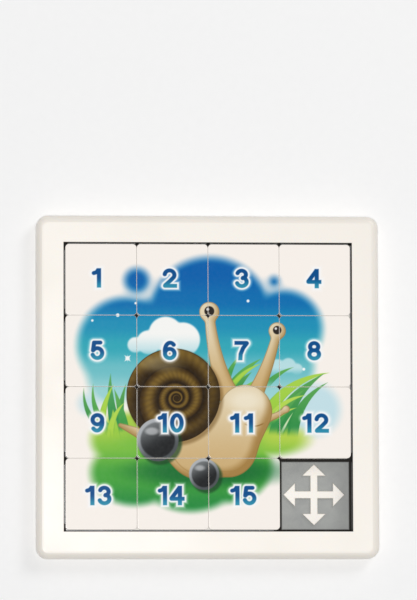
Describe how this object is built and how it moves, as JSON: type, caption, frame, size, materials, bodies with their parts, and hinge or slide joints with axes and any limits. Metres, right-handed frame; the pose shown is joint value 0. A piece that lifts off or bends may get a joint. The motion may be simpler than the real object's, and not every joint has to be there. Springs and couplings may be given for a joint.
{
  "type": "sliding tile puzzle",
  "caption": "Flat square puzzle with a rounded frame, numbered sliding tiles held by tongues and grooves, and one empty cell.",
  "frame": {"origin": "on the surface that the puzzle rests on, under the centre of its square back", "axes": "+Z out of the face with the tiles, +Y to the top of the face, +X to its right"},
  "size_m": [0.12, 0.12, 0.0084],
  "materials": {
    "ivory_frame": "satin moulded ABS, warm ivory",
    "ivory_tile": "gloss moulded ABS, warm ivory, with a printed face",
    "grey_base": "matt moulded polystyrene, mid grey"
  },
  "bodies": {
    "tray": {"frame": "ivory_frame", "base_plate": "grey_base", "floor_mark": "ivory_frame"},
    "tile_01": {"tile_01": "ivory_tile"},
    "tile_02": {"tile_02": "ivory_tile"},
    "tile_03": {"tile_03": "ivory_tile"},
    "tile_04": {"tile_04": "ivory_tile"},
    "tile_05": {"tile_05": "ivory_tile"},
    "tile_06": {"tile_06": "ivory_tile"},
    "tile_07": {"tile_07": "ivory_tile"},
    "tile_08": {"tile_08": "ivory_tile"},
    "tile_09": {"tile_09": "ivory_tile"},
    "tile_10": {"tile_10": "ivory_tile"},
    "tile_11": {"tile_11": "ivory_tile"},
    "tile_12": {"tile_12": "ivory_tile"},
    "tile_13": {"tile_13": "ivory_tile"},
    "tile_14": {"tile_14": "ivory_tile"},
    "tile_15": {"tile_15": "ivory_tile"}
  },
  "joints": [
    {"name": "tile_01_slide", "type": "slide", "parent": "tray", "child": "tile_01", "axis": [1, 0, 0], "range_m": [-0.00004, 0.00004]},
    {"name": "tile_02_slide", "type": "slide", "parent": "tray", "child": "tile_02", "axis": [1, 0, 0], "range_m": [-0.00004, 0.00004]},
    {"name": "tile_03_slide", "type": "slide", "parent": "tray", "child": "tile_03", "axis": [1, 0, 0], "range_m": [-0.00004, 0.00004]},
    {"name": "tile_04_slide", "type": "slide", "parent": "tray", "child": "tile_04", "axis": [0, 1, 0], "range_m": [-0.025, 0]},
    {"name": "tile_05_slide", "type": "slide", "parent": "tray", "child": "tile_05", "axis": [0, 1, 0], "range_m": [-0.00004, 0.00004]},
    {"name": "tile_06_slide", "type": "slide", "parent": "tray", "child": "tile_06", "axis": [1, 0, 0], "range_m": [-0.00004, 0.00004]},
    {"name": "tile_07_slide", "type": "slide", "parent": "tray", "child": "tile_07", "axis": [1, 0, 0], "range_m": [-0.00004, 0.00004]},
    {"name": "tile_08_slide", "type": "slide", "parent": "tray", "child": "tile_08", "axis": [0, 1, 0], "range_m": [-0.025, 0]},
    {"name": "tile_09_slide", "type": "slide", "parent": "tray", "child": "tile_09", "axis": [0, 1, 0], "range_m": [-0.00004, 0.00004]},
    {"name": "tile_10_slide", "type": "slide", "parent": "tray", "child": "tile_10", "axis": [1, 0, 0], "range_m": [-0.00004, 0.00004]},
    {"name": "tile_11_slide", "type": "slide", "parent": "tray", "child": "tile_11", "axis": [1, 0, 0], "range_m": [-0.00004, 0.00004]},
    {"name": "tile_12_slide", "type": "slide", "parent": "tray", "child": "tile_12", "axis": [0, 1, 0], "range_m": [-0.025, 0]},
    {"name": "tile_13_slide", "type": "slide", "parent": "tray", "child": "tile_13", "axis": [1, 0, 0], "range_m": [0, 0.025]},
    {"name": "tile_14_slide", "type": "slide", "parent": "tray", "child": "tile_14", "axis": [1, 0, 0], "range_m": [0, 0.025]},
    {"name": "tile_15_slide", "type": "slide", "parent": "tray", "child": "tile_15", "axis": [1, 0, 0], "range_m": [0, 0.025]}
  ],
  "couplings": [
    {"joint": "tile_08_slide", "follows": "tile_04_slide", "ratio": 1},
    {"joint": "tile_12_slide", "follows": "tile_04_slide", "ratio": 1},
    {"joint": "tile_14_slide", "follows": "tile_13_slide", "ratio": 1},
    {"joint": "tile_15_slide", "follows": "tile_13_slide", "ratio": 1}
  ]
}
